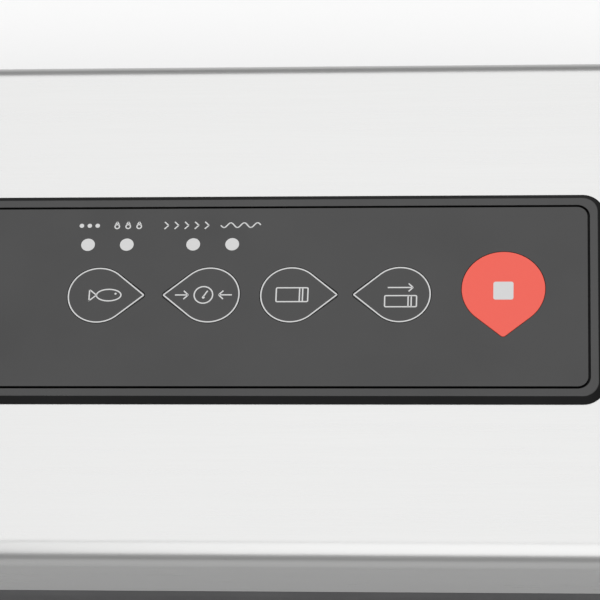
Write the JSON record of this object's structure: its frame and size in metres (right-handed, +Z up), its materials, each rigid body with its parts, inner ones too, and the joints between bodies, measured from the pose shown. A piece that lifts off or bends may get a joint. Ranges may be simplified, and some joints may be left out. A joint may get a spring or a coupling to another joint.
{
  "type": "vacuum sealer",
  "caption": "Kitchen bag vacuum sealer with a hinged brushed-steel lid, teardrop keys on a dark panel, vacuum channel, heater bar, latches and pump.",
  "frame": {"origin": "on the worktop, under the middle of the machine", "axes": "+X to the right, +Y to the back, +Z up; the front faces -Y"},
  "size_m": [0.39, 0.18, 0.094],
  "materials": {
    "black_abs": "moulded, fine texture",
    "rubber": "matte",
    "screw_steel": "zinc plated",
    "phenolic": "heat-resistant laminate",
    "heater_alloy": "rolled nickel-chrome ribbon",
    "ptfe_tape": "woven glass cloth with a non-stick coat",
    "foam": "closed-cell foam",
    "tray_plastic": "polished polypropylene",
    "zinc_plate": "zinc plated",
    "rotor_steel": "ground",
    "black_nylon": "moulded",
    "natural_nylon": "moulded",
    "silicone": "translucent silicone",
    "blue_nylon": "moulded",
    "core_steel": "varnished laminations",
    "copper": "enamelled wire",
    "board_green": "solder mask",
    "capacitor_sleeve": "shrink sleeve",
    "brass": "bright",
    "pom_white": "moulded acetal",
    "key_grey": "satin",
    "spring_steel": "drawn wire",
    "brushed_steel": "brushed along the width",
    "silicone_pad": "smooth silicone",
    "panel_grey": "satin, fine texture",
    "light_lens": "diffusing lens",
    "led_epoxy": "clear epoxy",
    "stop_red": "satin"
  },
  "bodies": {
    "base": {"base_housing": "black_abs", "channel_tub": "black_abs", "bottom_cover": "black_abs", "front_left_foot": "rubber", "front_right_foot": "rubber", "rear_left_foot": "rubber", "rear_right_foot": "rubber", "base_screws": "screw_steel", "heater_carrier": "phenolic", "heater_strip": "heater_alloy", "release_tape": "ptfe_tape", "lower_gasket": "foam", "drip_tray": "tray_plastic", "pump_motor": "zinc_plate", "pump_head": "black_nylon", "pump_diaphragm": "rubber", "pump_valve_cap": "black_nylon", "pump_cradle": "rubber", "channel_nozzles": "natural_nylon", "pump_hose": "silicone", "vent_hose": "silicone", "switch_hose": "silicone", "vent_valve": "blue_nylon", "vacuum_switch": "natural_nylon", "transformer_core": "core_steel", "transformer_winding": "copper", "power_board": "board_green", "power_relay": "blue_nylon", "smoothing_capacitor": "capacitor_sleeve", "mains_inlet": "black_nylon", "inlet_pins": "brass", "hinge_pins": "screw_steel", "left_latch_spring": "spring_steel", "right_latch_spring": "spring_steel"},
    "pump_rotor": {"pump_rotor": "rotor_steel"},
    "left_latch": {"left_latch_slider": "pom_white", "left_release_button": "key_grey"},
    "right_latch": {"right_latch_slider": "pom_white", "right_release_button": "key_grey"},
    "lid": {"lid_frame": "black_abs", "left_lid_hook": "natural_nylon", "right_lid_hook": "natural_nylon", "lid_cover": "brushed_steel", "left_end_cap": "black_abs", "right_end_cap": "black_abs", "upper_gasket": "foam", "sealing_pad": "silicone_pad", "lid_screws": "screw_steel", "panel_bezel": "panel_grey", "panel_fascia": "panel_grey", "light_pipes": "light_lens", "control_board": "board_green", "key_switches": "black_nylon", "status_leds": "led_epoxy", "board_screws": "screw_steel"},
    "food_key": {"food_key": "key_grey"},
    "pressure_key": {"pressure_key": "key_grey"},
    "seal_key": {"seal_key": "key_grey"},
    "vacuum_key": {"vacuum_key": "key_grey"},
    "stop_key": {"stop_key": "stop_red"}
  },
  "joints": [
    {"name": "lid_hinge", "type": "hinge", "parent": "base", "child": "lid", "pos_m": [0, 0.08, 0.062], "axis": [-1, 0, 0], "range_deg": [0, 75]},
    {"name": "left_latch_slide", "type": "slide", "parent": "base", "child": "left_latch", "axis": [1, 0, 0], "range_m": [0, 0.0035], "stiffness_N_per_m": 500, "springref_m": -0.003, "deforming": ["left_latch_spring"]},
    {"name": "right_latch_slide", "type": "slide", "parent": "base", "child": "right_latch", "axis": [-1, 0, 0], "range_m": [0, 0.0035], "stiffness_N_per_m": 500, "springref_m": -0.003, "deforming": ["right_latch_spring"]},
    {"name": "pump_spin", "type": "hinge", "parent": "base", "child": "pump_rotor", "pos_m": [-0.1, 0.03, 0.027], "axis": [1, 0, 0], "continuous": true},
    {"name": "food_press", "type": "slide", "parent": "lid", "child": "food_key", "axis": [0, 0, -1], "range_m": [0, 0.0005], "stiffness_N_per_m": 2000, "springref_m": -0.0005},
    {"name": "pressure_press", "type": "slide", "parent": "lid", "child": "pressure_key", "axis": [0, 0, -1], "range_m": [0, 0.0005], "stiffness_N_per_m": 2000, "springref_m": -0.0005},
    {"name": "seal_press", "type": "slide", "parent": "lid", "child": "seal_key", "axis": [0, 0, -1], "range_m": [0, 0.0005], "stiffness_N_per_m": 2000, "springref_m": -0.0005},
    {"name": "vacuum_press", "type": "slide", "parent": "lid", "child": "vacuum_key", "axis": [0, 0, -1], "range_m": [0, 0.0005], "stiffness_N_per_m": 2000, "springref_m": -0.0005},
    {"name": "stop_press", "type": "slide", "parent": "lid", "child": "stop_key", "axis": [0, 0, -1], "range_m": [0, 0.0005], "stiffness_N_per_m": 2000, "springref_m": -0.0005}
  ]
}
